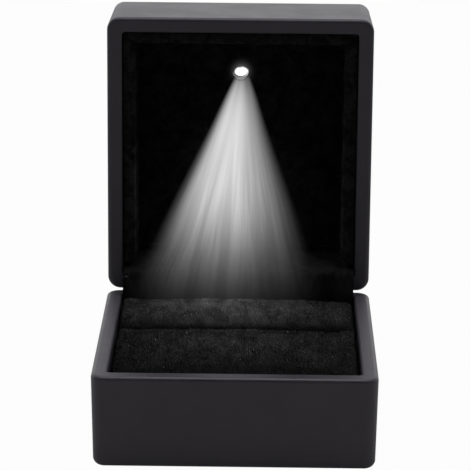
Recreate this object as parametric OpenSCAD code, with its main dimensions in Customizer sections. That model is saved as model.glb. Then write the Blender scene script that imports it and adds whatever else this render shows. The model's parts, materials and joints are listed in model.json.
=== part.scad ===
// Lighted ring box: a drafted two-part shell on a spring hinge, with two
// velvet pads in the base and a lamp module behind the lining of the lid.
// Millimetres. +X right, +Y to the hinge, +Z up. The origin is the centre of
// the underside. The lid is drawn shut and then swung open about the hinge.

/* [Box] */
// Width across the rims
box_w = 62; // [60:0.5:70]
// Depth across the rims, front to hinge
box_d = 65.5; // [64:0.5:72]
// Height of the base
base_h = 20.8; // [20.4:0.1:24]
// Height of the lid
lid_h = 23.4; // [23.2:0.1:27]
// Wall thickness at the rims
wall = 3.5; // [3.5:0.1:4]
// Gap between the rims when the box is shut
seam = 0.2; // [0.2:0.1:0.4]
// Thickness of the base's floor
floor_t = 2.4; // [1.8:0.1:2.6]
// Thickness of the lid's top
top_t = 2; // [1.6:0.1:2]
// Rounding of the upright corners
corner_r = 3; // [2.5:0.1:4]
// Rounding where the walls meet the bottom, or the top of the lid
foot_r = 1.8; // [1:0.1:2]
// Rounding of the rims' outer edge
rim_r = 0.9; // [0.4:0.1:1]
// Rounding of the rims' inner edge
lip_r = 0.4; // [0.2:0.1:0.6]
// How far each wall leans in, from the rim to the other end
draft = 0.35; // [0.1:0.05:0.5]

/* [Hinge] */
// Angle of the lid, 90 when it is open
lid_open = 90; // [0:5:90]
// Radius of the hinge pin
pin_r = 0.75; // [0.6:0.05:0.75]
// Thickness of the sheet steel
sheet_t = 0.6; // [0.5:0.05:0.6]
// Clearance of the pin in the knuckles
pin_gap = 0.05; // [0.03:0.01:0.08]
// Half the length of the knuckle barrel
barrel_x = 27; // [26:0.5:27]
// Half the width of the leaf plates
leaf_x = 21.6; // [21:0.1:21.6]
// Height of the leaf plates on the walls
leaf_h = 8.6; // [7.5:0.1:9]
// Full turns of the torsion spring
spring_turns = 10; // [6:1:10]
// Radius of the spring wire
spring_wire_r = 0.2; // [0.15:0.01:0.2]

/* [Pads] */
// Where the slit between the two pads lies, behind the centre
slit_y = 6; // [4:0.5:8]
// Width of the slit at half height
slit_w = 0.8; // [0.6:0.1:1.5]
// Height of the front pad's corners above the underside
pad_edge_z = 19.3; // [18:0.1:19.4]
// How much higher the rear pad stands
rear_rise = 0.7; // [0:0.1:0.8]
// Crown along the length of each pad
crown_x = 0.9; // [0.4:0.05:1]
// Crown across each pad
crown_y = 0.3; // [0.2:0.05:0.4]
// Rounding of each pad's front top edge
pad_front_r = 2.6; // [1.5:0.1:2.8]
// Rounding of each pad's back top edge
pad_back_r = 0.9; // [0.8:0.1:1.5]
// How far the pads' sides are drawn in at mid length
pad_waist = 0.35; // [0:0.05:0.5]

/* [Lid lining] */
// Width of the padded frame at the sides
frame_side = 3; // [2.5:0.1:3.5]
// Width of the padded frame at the top of the open lid
frame_top = 2.7; // [2.4:0.1:3.2]
// How far the padded frame sits below the rim
frame_drop = 1; // [0.6:0.1:1.5]
// Depth of the lining panel below the rim
panel_drop = 13; // [12:0.1:13]
// Thickness of the panel
panel_t = 1.2; // [0.8:0.1:1.4]
// Height of the lamp above the hinge when the lid is open
lamp_rise = 50.2; // [46:0.1:52]
// Radius of the lamp opening
lamp_r = 1.85; // [1.6:0.05:2]

/* [Hidden] */
$fn = 48;

// Inner faces, and the hinge axis on the outer back edge at mid seam
in_x = box_w / 2 - wall;
in_y = box_d / 2 - wall;
axis_y = box_d / 2;
axis_z = base_h + seam / 2;
lid_z = base_h + seam;
lid_top = lid_z + lid_h;
lid_ceiling = lid_top - top_t;
inner_corner_r = 0.8;

// Hinge: every distance here is measured from the axis
bore_r = pin_r + pin_gap;
knuckle_r = bore_r + sheet_t;
knuckle_gap = 0.15;
strip_back = knuckle_r + knuckle_gap;
plate_y = axis_y - in_y;
slot_side_gap = 0.2;
slot_x = leaf_x + slot_side_gap;
notch_x = barrel_x + 0.3;
notch_y = 2.05;
tab_x = 1;
tab_y = 3.35;
leg_slot = 0.7;
spring_r = pin_r + 0.35;
spring_x = 5.2;
// Knuckles of each leaf on the right of centre, as [from, to]
base_knuckles = [[6.3, 12.9], [20.4, barrel_x]];
lid_knuckles = [[13.2, 20.1]];
screw_x = [-14, 0, 14];
screw_rise = 5.2;
screw_r = 0.6;
screw_hole_r = 0.64;
screw_len = 2.6;
head_r = 1.2;
head_h = 0.4;

// Lining: clearance in the shell, room kept for the hinge, length from the top of the
// open lid, soft edge
lining_gap = 0.1;
hinge_room = 2.8;
lining_len = 2 * in_y - lining_gap - hinge_room;
frame_edge_r = 1.1;

// Lamp module, inside the lid
board_z = lid_ceiling - 1.6;
board_t = 1;
board = [28, 42];
board_y = -1.5;
lamp_y = axis_y - lamp_rise;
panel_z = lid_z + panel_drop;
peg_x = 12;
peg_y = [-20, 17];
cell_r = 3.95;
cell_h = 3.6;
cell_y = [-5.6, 3.2, 12];
cell_gap = 0.15;
strip_t = 0.25;
holder = [12, 28, 4.6];
holder_y = 3.2;
holder_z = board_z - holder[2];
cell_z = board_z - strip_t - cell_h;

// Switch, in a pocket beside the hinge leaf
switch_x = 24.1;
switch_w = 3;
switch_l = 8;
switch_h = 1.8;
switch_rise = wall - 0.35;
switch_z = lid_z + 3;
plunger_r = 0.55;
plunger_travel = 1;
plunger_tip = plunger_travel + seam;
switch_sunk = 1;
wire_r = 0.25;

// Flap: centre line from its tail behind the rear pad, up, over and back
flap_x = in_x - 0.4;
flap_tongue_x = in_x - lining_gap - frame_side - 0.4;
flap_t = 0.6;
flap_tail_z = 9;
flap_y = in_y - 1.5;
flap_root_z = axis_z - 1.7;

// ---------- shells ----------

// Half section of a drafted wall: x runs out from the corner's centre line
module wall_section(h) {
  intersection() {
    square([corner_r, h]);
    union() {
      polygon([
        [0, 0], [corner_r - draft - foot_r, 0], [corner_r - draft, foot_r],
        [corner_r, h - rim_r], [corner_r - rim_r, h], [0, h]
      ]);
      translate([corner_r - draft - foot_r, foot_r]) circle(foot_r);
      translate([corner_r - rim_r, h - rim_r]) circle(rim_r);
    }
  }
}

// Half section of the hollow, which flares over the rim's rounded inner edge
module hollow_section(h) {
  square([inner_corner_r, h + 1]);
  translate([inner_corner_r, h - lip_r]) difference() {
    square([lip_r, lip_r + 1]);
    translate([lip_r, 0]) circle(lip_r);
  }
}

// Takes a half section round a w by d rectangle with corners of radius r
module wrap(w, d, r, h) {
  side_x = w / 2 - r;
  side_y = d / 2 - r;
  translate([0, side_y, 0]) rotate([90, 0, 0]) linear_extrude(2 * side_y) {
    for (s = [0, 1]) mirror([s, 0]) translate([side_x, 0]) children();
    translate([-side_x, 0]) square([2 * side_x, h]);
  }
  for (s = [0, 1]) mirror([0, s, 0])
    translate([-side_x, side_y, 0]) rotate([90, 0, 90]) linear_extrude(2 * side_x) children();
  for (sx = [0, 1], sy = [0, 1]) mirror([sx, 0, 0]) mirror([0, sy, 0])
    translate([side_x, side_y, 0]) rotate_extrude(angle = 90) children();
}

// One half of the box, rim up, standing on z = 0
module tub(h, skin) {
  difference() {
    wrap(box_w, box_d, corner_r, h) wall_section(h);
    translate([0, 0, skin])
      wrap(2 * in_x, 2 * in_y, inner_corner_r, h - skin + 1) hollow_section(h - skin);
  }
}

// What the hinge needs cut from a rim, measured up from the axis
module hinge_cut() {
  depth = knuckle_r + 1;
  translate([-notch_x, axis_y - notch_y, axis_z - knuckle_r])
    cube([2 * notch_x, notch_y + 5, depth]);
  translate([-slot_x, in_y - 1, axis_z - knuckle_r]) cube([2 * slot_x, wall, depth]);
  for (s = [-1, 1]) translate([s * (notch_x - tab_x / 2 - 0.15) - tab_x / 2 - 0.15, in_y - 1, axis_z - knuckle_r])
    cube([tab_x + 0.3, wall, depth]);
  for (x = screw_x) translate([x, in_y - 1, axis_z - screw_rise])
    rotate([-90, 0, 0]) cylinder(r = screw_hole_r, h = 1 + screw_len + 0.2);
}

module base_shell() {
  color("#1c1c1f") difference() {
    tub(base_h, floor_t);
    hinge_cut();
  }
}

// Turns what is drawn below the hinge axis to above it, for the lid's leaf
module above_axis() {
  translate([0, 0, 2 * axis_z]) mirror([0, 0, 1]) children();
}

// Swings the lid, drawn shut, to its open position
module on_lid() {
  translate([0, axis_y, axis_z]) rotate([-lid_open, 0, 0])
    translate([0, -axis_y, -axis_z]) children();
}

module lid_shell() {
  color("#1c1c1f") on_lid() difference() {
    union() {
      translate([0, 0, lid_top]) mirror([0, 0, 1]) tub(lid_h, top_t);
      for (x = [-peg_x, peg_x], y = peg_y) translate([x, y, board_z + board_t])
        cylinder(r = 1.7, h = lid_ceiling - board_z - board_t + 0.5);
    }
    above_axis() hinge_cut();
    for (x = [-peg_x, peg_x], y = peg_y) translate([x, y, board_z])
      cylinder(r = screw_hole_r, h = 2.6);
    switch_pocket();
  }
}

// ---------- hinge ----------

// A leaf as it lies in the base: plate on the wall, strip over the notch, knuckles
module leaf(knuckles, leg_side) {
  strip_z = axis_z - knuckle_r;
  difference() {
    union() {
      translate([-leaf_x, in_y - sheet_t, strip_z])
        cube([2 * leaf_x, plate_y + sheet_t - strip_back, sheet_t]);
      translate([0, in_y, 0]) rotate([90, 0, 0]) linear_extrude(sheet_t) leaf_plate();
      for (s = [0, 1]) mirror([s, 0, 0]) {
        translate([leaf_x - 1, axis_y - notch_y + 0.1, strip_z])
          cube([barrel_x - leaf_x + 1, notch_y - 0.1 - strip_back, sheet_t]);
        translate([barrel_x - tab_x, axis_y - tab_y, strip_z])
          cube([tab_x, tab_y - strip_back, sheet_t]);
        for (k = knuckles) translate([k[0], axis_y, axis_z]) {
          rotate([0, 90, 0]) cylinder(r = knuckle_r, h = k[1] - k[0]);
          translate([0, -strip_back, -knuckle_r]) cube([k[1] - k[0], strip_back, sheet_t]);
        }
      }
    }
    for (s = [0, 1]) mirror([s, 0, 0]) for (k = knuckles)
      translate([k[0] - 1, axis_y, axis_z]) rotate([0, 90, 0])
        cylinder(r = bore_r, h = k[1] - k[0] + 2);
    translate([leg_side * spring_x - leg_slot / 2, in_y - 1, strip_z - 1])
      cube([leg_slot, plate_y, sheet_t + 1.5]);
    for (x = screw_x) translate([x, in_y - 1, axis_z - screw_rise])
      rotate([-90, 0, 0]) cylinder(r = screw_hole_r + 0.1, h = 2);
  }
}

// Outline of the plate, with its two free corners rounded
module leaf_plate() {
  r = 2;
  low = axis_z - knuckle_r - leaf_h;
  translate([-leaf_x, low + r]) square([2 * leaf_x, leaf_h - r + sheet_t]);
  translate([-leaf_x + r, low]) square([2 * (leaf_x - r), r]);
  for (s = [-1, 1]) translate([s * (leaf_x - r), low + r]) circle(r);
}

// Round-head screws through a leaf, with a cross slot in each head
module leaf_screws() {
  for (x = screw_x) translate([x, in_y - sheet_t, axis_z - screw_rise]) rotate([-90, 0, 0]) {
    cylinder(r = screw_r, h = sheet_t + screw_len);
    difference() {
      translate([0, 0, -head_h]) cylinder(r1 = head_r - 0.25, r2 = head_r, h = head_h);
      for (a = [0, 90]) rotate([0, 0, a]) translate([-0.7, -0.12, -head_h - 0.1])
        cube([1.4, 0.24, 0.3]);
    }
  }
}

module hinge_leaf_base() { color("silver") leaf(base_knuckles, -1); }
module hinge_leaf_lid() { color("silver") on_lid() above_axis() leaf(lid_knuckles, 1); }
module hinge_screws_base() { color("gainsboro") leaf_screws(); }
module hinge_screws_lid() { color("gainsboro") on_lid() above_axis() leaf_screws(); }

module hinge_pin() {
  color("gainsboro") translate([-barrel_x - 0.1, axis_y, axis_z]) rotate([0, 90, 0])
    cylinder(r = pin_r, h = 2 * barrel_x + 0.2);
}

// Torsion spring: a leg in the base's slot, the coil, a leg in the lid's slot
rings_per_turn = 8;
wire_sides = 6;
coil_steps = spring_turns * rings_per_turn + rings_per_turn / 4;
function coil_point(i) = let (a = 360 * i / rings_per_turn)
  [-spring_x + 2 * spring_x * i / coil_steps,
   axis_y + spring_r * sin(a), axis_z - spring_r * cos(a)];
function coil_out(i) = let (a = 360 * i / rings_per_turn) [0, sin(a), -cos(a)];
leg_len = plate_y + 0.5;
spring_path = concat(
  [coil_point(0) - [0, leg_len, 0]],
  [for (i = [0 : coil_steps]) coil_point(i)],
  [coil_point(coil_steps) + [0, 0, leg_len]]);
spring_out = concat([coil_out(0)], [for (i = [0 : coil_steps]) coil_out(i)], [coil_out(coil_steps)]);
echo(coil_gap = norm(coil_point(rings_per_turn) - coil_point(0)) - 2 * spring_wire_r);

// A closed tube along a path: each ring spans its own outward direction and the path's side
module tube(path, outward, r, sides) {
  last = len(path) - 1;
  points = [for (i = [0 : last], k = [0 : sides - 1])
    let (ahead = path[min(i + 1, last)] - path[max(i - 1, 0)],
         side = cross(ahead / norm(ahead), outward[i]),
         a = 360 * k / sides)
    path[i] + r * (cos(a) * outward[i] + sin(a) * side / norm(side))];
  walls = [for (i = [0 : last - 1], k = [0 : sides - 1])
    let (a = i * sides + k, b = i * sides + (k + 1) % sides)
    each [[a, a + sides, b + sides], [a, b + sides, b]]];
  ends = [for (k = [1 : sides - 2]) each
    [[0, k, k + 1], [last * sides, last * sides + k + 1, last * sides + k]]];
  polyhedron(points, concat(walls, ends));
}

module hinge_spring() { color("silver") tube(spring_path, spring_out, spring_wire_r, wire_sides); }

// ---------- soft parts ----------

function arc(c, r, a0, a1, n) =
  [for (i = [0 : n]) let (a = a0 + (a1 - a0) * i / n) c + r * [cos(a), sin(a)]];

// Centre line of the flap in y and z: upright tail, lean back, ridge, run to the panel,
// and the tongue that turns up the panel between the frame's bars
lean = 58;
bend_r = 8;
ridge_r = 1.5;
lean_len = 1.8;
bend_c = [flap_y + bend_r, flap_root_z];
bend_end = bend_c + bend_r * [-sin(lean), cos(lean)];
ridge_c = bend_end + lean_len * [cos(lean), sin(lean)] + ridge_r * [sin(lean), -cos(lean)];
run_slope = 5.5;
flap_end = [axis_y + panel_drop - 0.3, axis_z + wall + hinge_room - 0.55];
flap_line = concat(
  [[flap_y, flap_tail_z]],
  arc(bend_c, bend_r, 180, 90 + lean, 6),
  arc(ridge_c, ridge_r, 90 + lean, 90 + run_slope, 8),
  [flap_end]);
flap_run = flap_end - flap_line[len(flap_line) - 2];
tongue_lap = 1.4;
tongue_h = 1.9;
tongue_bend = 0.3;
tongue_line = [
  for (back = [tongue_lap, tongue_bend]) flap_end - back * flap_run / norm(flap_run),
  for (up = [tongue_bend, tongue_h]) flap_end + [0, up]];

// A strip of thickness t round a centre line
function line_side(p, i) = let (d = p[min(i + 1, len(p) - 1)] - p[max(i - 1, 0)]) [-d[1], d[0]] / norm(d);
function ribbon(p, t) = concat(
  [for (i = [0 : len(p) - 1]) p[i] + t / 2 * line_side(p, i)],
  [for (i = [len(p) - 1 : -1 : 0]) p[i] - t / 2 * line_side(p, i)]);

// With the lid on its way to shut, the flap runs straight from its root to the panel
function swung(p) = let (a = 90 - lid_open, d = p - [axis_y, axis_z])
  [axis_y + d[0] * cos(a) - d[1] * sin(a), axis_z + d[0] * sin(a) + d[1] * cos(a)];
function bezier(a, b, c, d, n) = [for (i = [0 : n]) let (t = i / n, u = 1 - t)
  u * u * u * a + 3 * u * u * t * b + 3 * u * t * t * c + t * t * t * d];
flap_pull = 7.5;
flap_root = [flap_y, flap_root_z];
flap_shutting = concat([[flap_y, flap_tail_z]], bezier(
  flap_root, flap_root + [0, flap_pull],
  swung(flap_end - flap_pull * flap_run / norm(flap_run)), swung(flap_end), 10));

module flap_strip(line, x) {
  translate([-x, 0, 0]) rotate([90, 0, 90]) linear_extrude(2 * x) polygon(ribbon(line, flap_t));
}
module hinge_flap() {
  color("#101012") {
    flap_strip(lid_open == 90 ? flap_line : flap_shutting, flap_x);
    flap_strip([for (p = tongue_line) swung(p)], flap_tongue_x);
  }
}

// A loop round a rounded rectangle, with points on its straight sides too
function side_run(a, b, n) = [for (i = [1 : n]) a + (b - a) * i / (n + 1)];
function loop(hx, hy, r, n) = concat(
  arc([hx - r, hy - r], r, 0, 90, 4), side_run([hx - r, hy], [r - hx, hy], n),
  arc([r - hx, hy - r], r, 90, 180, 4), side_run([-hx, hy - r], [-hx, r - hy], n),
  arc([r - hx, r - hy], r, 180, 270, 4), side_run([r - hx, -hy], [hx - r, -hy], n),
  arc([hx - r, r - hy], r, 270, 360, 4), side_run([hx, r - hy], [hx, hy - r], n));

// Over a point of a pad: the height of the crowned top, how far the side is drawn in,
// and the radius of the top edge, which is sharper towards the hinge
function crown(p, hx, hy) = crown_x * (1 - pow(p[0] / hx, 2)) + crown_y * (1 - pow(p[1] / hy, 2));
function waist(p, hx, hy) = let (u = p[0] / hx, v = p[1] / hy)
  [1 - pad_waist / hx * (1 - v * v) * u * u, 1 - pad_waist / hy * (1 - u * u) * v * v];
function edge_r(p, hy) = pad_back_r + (pad_front_r - pad_back_r) * pow((1 - p[1] / hy) / 2, 2);

tray_t = 0.5;
tray_h = 13;
tray_top = floor_t + tray_h;
pad_foot_z = floor_t + tray_t + 0.1;
pad_low_x = in_x - 0.75;
pad_top_x = in_x - 0.3;
pad_front_y = -in_y + 0.75;
pad_back_y = flap_y - flap_t / 2 - 0.4;

// One pad: rings up the side, out over the tray, round the top edge and in over the crown
module pad(y0, y1, edge_z) {
  hx = pad_top_x;
  hy = (y1 - y0) / 2;
  corner = 1.8;
  n = 7;
  count = 4 * (5 + n);
  low = loop(pad_low_x, hy, corner, n);
  top = loop(hx, hy, corner, n);
  foot = [for (p = loop(pad_low_x - 1, hy - 1, corner - 1, n)) [p[0], p[1], pad_foot_z]];
  side = [
    [for (p = low) [p[0], p[1], pad_foot_z + 1]],
    [for (p = low) let (w = waist(p, pad_low_x, hy)) [p[0] * w[0], p[1] * w[1], (pad_foot_z + tray_top) / 2]],
    [for (p = low) [p[0], p[1], tray_top]]];
  edge = [for (a = [0 : 18 : 90]) [for (p = top)
    let (r = edge_r(p, hy), e = r * (1 - cos(a)), q = [p[0] * (1 - e / hx), p[1] * (1 - e / hy)])
    [q[0], q[1], edge_z - r * (1 - sin(a)) + crown(q, hx, hy)]]];
  crest = edge[len(edge) - 1];
  inner = [for (k = [0.78, 0.55, 0.3]) [for (p = crest) [k * p[0], k * p[1], edge_z + crown(k * p, hx, hy)]]];
  rings = concat([foot], side, edge, inner);
  last = len(rings) - 1;
  points = concat([for (r = rings) each r],
    [[0, 0, pad_foot_z], [0, 0, edge_z + crown_x + crown_y]]);
  walls = [for (i = [0 : last - 1], k = [0 : count - 1])
    let (a = i * count + k, b = i * count + (k + 1) % count)
    each [[a, a + count, b + count], [a, b + count, b]]];
  caps = [for (k = [0 : count - 1]) let (m = (k + 1) % count) each
    [[len(points) - 2, k, m], [len(points) - 1, last * count + m, last * count + k]]];
  translate([0, (y0 + y1) / 2, 0]) polyhedron(points, concat(walls, caps));
}
module ring_pad_front() {
  color("#141416") pad(pad_front_y, slit_y - slit_w / 2, pad_edge_z);
}
module ring_pad_rear() {
  color("#141416") pad(slit_y + slit_w / 2, pad_back_y, pad_edge_z + rear_rise);
}

// Folded card tray: a floor with three upturned edges, open towards the hinge
module pad_tray() {
  d = pad_back_y + in_y - lining_gap;
  color("#2a2a2c") translate([0, -in_y + lining_gap, floor_t]) difference() {
    lining_block(d, tray_h);
    translate([-in_x + lining_gap + tray_t, tray_t, tray_t])
      cube([2 * (in_x - lining_gap - tray_t), d, tray_h]);
  }
}

// ---------- lid lining ----------

// A block that fits the hollow's front corners, drawn from the front wall back
module lining_block(depth, h) {
  w = 2 * (in_x - lining_gap);
  r = inner_corner_r + 0.1;
  translate([-w / 2, r, 0]) cube([w, depth - r, h]);
  translate([-w / 2 + r, 0, 0]) cube([w - 2 * r, r, h]);
  for (s = [-1, 1]) translate([s * (w / 2 - r), r, 0]) cylinder(r = r, h = h);
}

// Padded frame: two side bars and a top bar, each with a rounded inner front edge
module lid_liner_frame() {
  depth = panel_drop - frame_drop;
  open_x = in_x - lining_gap - frame_side;
  color("#18181a") on_lid() translate([0, -in_y + lining_gap, lid_z + frame_drop]) difference() {
    lining_block(lining_len, depth);
    translate([-open_x, frame_top, -1]) cube([2 * open_x, lining_len, depth + 2]);
    frame_mouth(open_x, frame_edge_r);
  }
}

// Flares the frame's opening over its rounded inner front edge, mitred at the corners
module frame_mouth(open_x, r) {
  reach = open_x + r;
  for (s = [0, 1]) mirror([s, 0, 0]) intersection() {
    translate([open_x, frame_top - r, 0]) rotate([-90, 0, 0]) mirror([0, 1, 0])
      linear_extrude(lining_len) mouth_section(r);
    translate([0, frame_top, 0]) linear_extrude(2 * r, center = true)
      polygon([[0, open_x], [0, lining_len], [reach, lining_len], [reach, -r], [open_x, 0]]);
  }
  intersection() {
    translate([-reach, frame_top, 0]) rotate([90, 0, 90]) mirror([1, 0, 0])
      linear_extrude(2 * reach) mouth_section(r);
    translate([0, frame_top, 0]) linear_extrude(2 * r, center = true)
      polygon([[-reach, -r], [-open_x, 0], [-open_x, 1], [open_x, 1], [open_x, 0], [reach, -r]]);
  }
}

// What a rounded edge of radius r leaves out, for a wall that starts at x = 0
module mouth_section(r) {
  difference() {
    translate([-0.5, -0.5]) square([r + 0.5, r + 0.5]);
    translate([r, r]) circle(r);
  }
}

module lid_panel() {
  color("#0c0c0e") on_lid() translate([0, -in_y + lining_gap, panel_z]) difference() {
    lining_block(lining_len, panel_t);
    translate([0, lamp_y + in_y - lining_gap, -1]) cylinder(r = lamp_r + 0.5, h = panel_t + 2);
  }
}

// ---------- lamp module ----------

module lamp_bezel() {
  color("#202022") on_lid() translate([0, lamp_y, panel_z - 0.1]) difference() {
    union() {
      cylinder(r = lamp_r + 0.4, h = 3);
      translate([0, 0, panel_t + 0.2]) cylinder(r = lamp_r + 1.2, h = 0.6);
    }
    translate([0, 0, -1]) cylinder(r = lamp_r, h = 5);
  }
}

// Round lamp with a domed nose and a collar, on two leads to the board
module lamp() {
  r = 1.5;
  tip = panel_z + 1.1;
  color("#fffbe8") on_lid() translate([0, lamp_y, 0]) {
    translate([0, 0, tip + r]) {
      intersection() {
        sphere(r);
        translate([-r, -r, -r]) cube([2 * r, 2 * r, r]);
      }
      cylinder(r = r, h = 1);
      translate([0, 0, 0.9]) cylinder(r = 1.8, h = 0.7);
    }
    for (x = [-0.8, 0.8]) translate([x, 0, tip + r + 1.5])
      cylinder(r = 0.25, h = board_z - tip - r - 1.5);
  }
}

module circuit_board() {
  color("#1f5b3a") on_lid() translate([0, board_y, board_z]) difference() {
    translate([-board[0] / 2, -board[1] / 2, 0]) cube([board[0], board[1], board_t]);
    for (x = [-peg_x, peg_x], y = peg_y) translate([x, y - board_y, -1])
      cylinder(r = screw_hole_r + 0.1, h = board_t + 2);
  }
}

// Barrel resistor on two bent leads
module resistor() {
  x = -7;
  drop = 1.1;
  reach = 3.4;
  color("#c8b48a") on_lid() translate([x, lamp_y, board_z - drop]) {
    rotate([-90, 0, 0]) translate([0, 0, -1.8]) cylinder(r = 0.85, h = 3.6);
    for (s = [-1, 1]) {
      translate([0, s * reach, 0]) cylinder(r = 0.22, h = drop);
      translate([0, s > 0 ? 1.8 : -reach, 0]) rotate([-90, 0, 0]) cylinder(r = 0.22, h = reach - 1.8);
      translate([0, s * reach, 0]) sphere(0.22);
    }
  }
}

// Tray with a round pocket for each cell, open towards the panel
module battery_holder() {
  color("#26262a") on_lid() difference() {
    translate([-holder[0] / 2, holder_y - holder[1] / 2, holder_z]) cube(holder);
    for (y = cell_y) translate([0, y, holder_z - 1]) cylinder(r = cell_r + cell_gap, h = holder[2] + 2);
    translate([-1.6, holder_y - 11, holder_z - 1]) cube([3.2, 22, 1.8]);
  }
}

module cell(i) {
  color("gainsboro") on_lid() translate([0, cell_y[i], cell_z]) {
    translate([0, 0, 0.4]) cylinder(r = cell_r, h = cell_h - 0.4);
    cylinder(r = cell_r - 0.9, h = 0.5);
  }
}
module cell_1() { cell(0); }
module cell_2() { cell(1); }
module cell_3() { cell(2); }

// Springy strips that join the cells: one on the board, one across the open side
module contact_strip_back() {
  color("gold") on_lid() for (y = cell_y) translate([0, y, board_z - strip_t])
    cylinder(r = cell_r - 1, h = strip_t);
}
module contact_strip_front() {
  color("gold") on_lid() {
    translate([-1.4, holder_y - 10.8, cell_z - strip_t]) cube([2.8, 21.6, strip_t]);
  }
}

module module_screws() {
  color("gainsboro") on_lid() for (x = [-peg_x, peg_x], y = peg_y) translate([x, y, board_z]) {
    cylinder(r = screw_r, h = 2.5);
    translate([0, 0, -0.6]) cylinder(r1 = 0.9, r2 = 1.3, h = 0.6);
  }
}

// ---------- switch ----------

// Pocket for the switch in the lid's back wall, with a groove for its plunger
module switch_pocket() {
  y0 = axis_y - switch_rise - switch_h / 2;
  gap = 0.1;
  translate([switch_x - switch_w / 2 - gap, in_y - 1, switch_z - gap])
    cube([switch_w + 2 * gap, y0 + switch_h + gap - in_y + 1, switch_l + 2 * gap]);
  translate([switch_x - plunger_r - 0.2, in_y - 1, lid_z - 1])
    cube([2 * plunger_r + 0.4, axis_y - switch_rise + plunger_r + 0.2 - in_y + 1, 5]);
}

module switch_body() {
  wall_t = 0.45;
  color("#303034") on_lid() translate([switch_x, axis_y - switch_rise, switch_z]) difference() {
    translate([-switch_w / 2, -switch_h / 2, 0]) cube([switch_w, switch_h, switch_l]);
    translate([0, 0, 1.2]) cylinder(r = switch_h / 2 - 0.18, h = switch_l - 1.2 - wall_t);
    translate([0, 0, -1]) cylinder(r = plunger_r + 0.08, h = 3);
  }
}

// Plunger: a pin with a shoulder that the small spring pushes towards the rim, pressed
// in as the lid shuts
plunger_push = plunger_travel * (1 - lid_open / 90);
plunger_z = lid_z - plunger_tip + plunger_push;
shoulder_z = switch_z + 1.25 + plunger_push;
module switch_plunger() {
  color("#e8e8e4") on_lid() translate([switch_x, axis_y - switch_rise, 0]) {
    translate([0, 0, plunger_z + plunger_r]) cylinder(r = plunger_r, h = shoulder_z - plunger_z - plunger_r);
    translate([0, 0, plunger_z + plunger_r]) sphere(plunger_r);
    translate([0, 0, shoulder_z - 0.02]) cylinder(r = 0.62, h = 0.6);
    translate([0, 0, shoulder_z + 0.5]) cylinder(r = 0.2, h = 1.2);
  }
}

push_turns = 5;
push_r = 0.45;
push_steps = push_turns * rings_per_turn;
push_z0 = shoulder_z + 0.75;
push_z1 = switch_z + switch_l - 0.62;
function push_point(i) = let (a = 360 * i / rings_per_turn)
  [push_r * cos(a), push_r * sin(a), push_z0 + (push_z1 - push_z0) * i / push_steps];
module switch_spring() {
  color("silver") on_lid() translate([switch_x, axis_y - switch_rise, 0])
    tube([for (i = [0 : push_steps]) push_point(i)],
      [for (i = [0 : push_steps]) let (a = 360 * i / rings_per_turn) [cos(a), sin(a), 0]], 0.09, wire_sides);
}

// Two leads from the back of the switch, up beside the panel and over to the board:
// steps across from the switch, depths and heights
lead_y = in_y - 0.3;
lead_end_y = board_y + board[1] / 2 - 2.3;
lead_route = [
  [0, lead_y, switch_z + switch_l], [0, lead_y, panel_z - 0.8],
  [-0.5, lead_y - 0.65, panel_z + 1.5], [-3, lead_y - 2.95, panel_z + 3.6],
  [-8, lead_end_y + 4.8, panel_z + 4.4], [-13.4, lead_end_y + 1, panel_z + 4.8],
  [-14.5, lead_end_y, panel_z + 5.6], [-14.5, lead_end_y, board_z]];
lead_last = len(lead_route) - 1;
function lead_out(i) = let (ahead = lead_route[min(i + 1, lead_last)] - lead_route[max(i - 1, 0)],
  side = cross(ahead, [0, 1, 0.6])) side / norm(side);
module switch_leads() {
  color("#b8332e") on_lid() for (x = [-0.4, 0.4]) translate([switch_x + x, 0, 0])
    tube(lead_route, [for (i = [0 : lead_last]) lead_out(i)], wire_r, wire_sides);
}

base_shell();
pad_tray();
ring_pad_front();
ring_pad_rear();
hinge_leaf_base();
hinge_screws_base();
hinge_pin();
hinge_spring();
hinge_flap();
lid_shell();
lid_liner_frame();
lid_panel();
lamp_bezel();
lamp();
circuit_board();
resistor();
battery_holder();
cell_1();
cell_2();
cell_3();
contact_strip_back();
contact_strip_front();
module_screws();
switch_leads();
hinge_leaf_lid();
hinge_screws_lid();
switch_body();
switch_spring();
switch_plunger();
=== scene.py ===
import json
import math

import bmesh
import bpy
import numpy as np
from mathutils import Matrix, Vector, noise


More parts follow.
